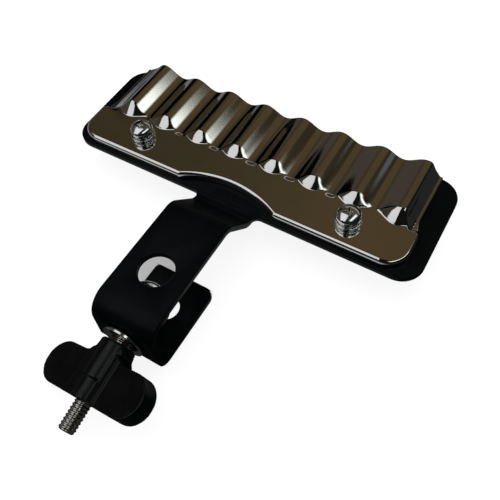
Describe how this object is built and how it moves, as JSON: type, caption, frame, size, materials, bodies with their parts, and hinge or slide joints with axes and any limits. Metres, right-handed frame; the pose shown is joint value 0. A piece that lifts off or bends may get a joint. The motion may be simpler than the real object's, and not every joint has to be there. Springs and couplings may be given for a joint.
{
  "type": "metal guiro with rod clamp",
  "caption": "Ridged chrome scraper plate screwed to a black bent steel bracket with a rod clamp: eye bolt, washer and black wing nut",
  "frame": {"origin": "centre of the rod clamp: on the centre line of the arm's rod hole, halfway between the arm and the return leg", "axes": "+X along the row of ridges, +Y from the clamp towards the scraper plate, +Z out of the playing side; the eye bolt and its wing nut point along -Y"},
  "size_m": [0.1548, 0.148, 0.0271],
  "materials": {
    "black_paint": "satin black paint with a fine texture",
    "chrome_plate": "mirror chrome plate on pressed sheet",
    "zinc_hardware": "bright zinc or chrome plate",
    "nickel_bolt": "bright nickel plate, rolled thread",
    "black_plastic": "moulded black plastic, slightly glossy",
    "plated_insert": "plated metal insert"
  },
  "bodies": {
    "frame": {"bracket": "black_paint", "scraper_plate": "chrome_plate", "screw_left": "zinc_hardware", "screw_right": "zinc_hardware", "lock_washer_left": "zinc_hardware", "lock_washer_right": "zinc_hardware", "flat_washer_left": "zinc_hardware", "flat_washer_right": "zinc_hardware", "nut_left": "zinc_hardware", "nut_right": "zinc_hardware", "clamp_washer": "zinc_hardware"},
    "wing_nut": {"wing_nut": "black_plastic", "wing_nut_insert": "plated_insert"},
    "eye_bolt": {"eye_bolt": "nickel_bolt"}
  },
  "joints": [
    {"name": "wing_nut_turn", "type": "hinge", "parent": "frame", "child": "wing_nut", "pos_m": [-0.0006, -0.0232, 0], "axis": [0.0346, -0.9919, -0.1219], "range_deg": [-85, 2690]},
    {"name": "eye_bolt_travel", "type": "slide", "parent": "frame", "child": "eye_bolt", "axis": [0.0346, -0.9919, -0.1219], "range_m": [-0.0095, 0.0003]}
  ],
  "couplings": [
    {"joint": "eye_bolt_travel", "follows": "wing_nut_turn", "m_per_rad": -0.00020213}
  ]
}
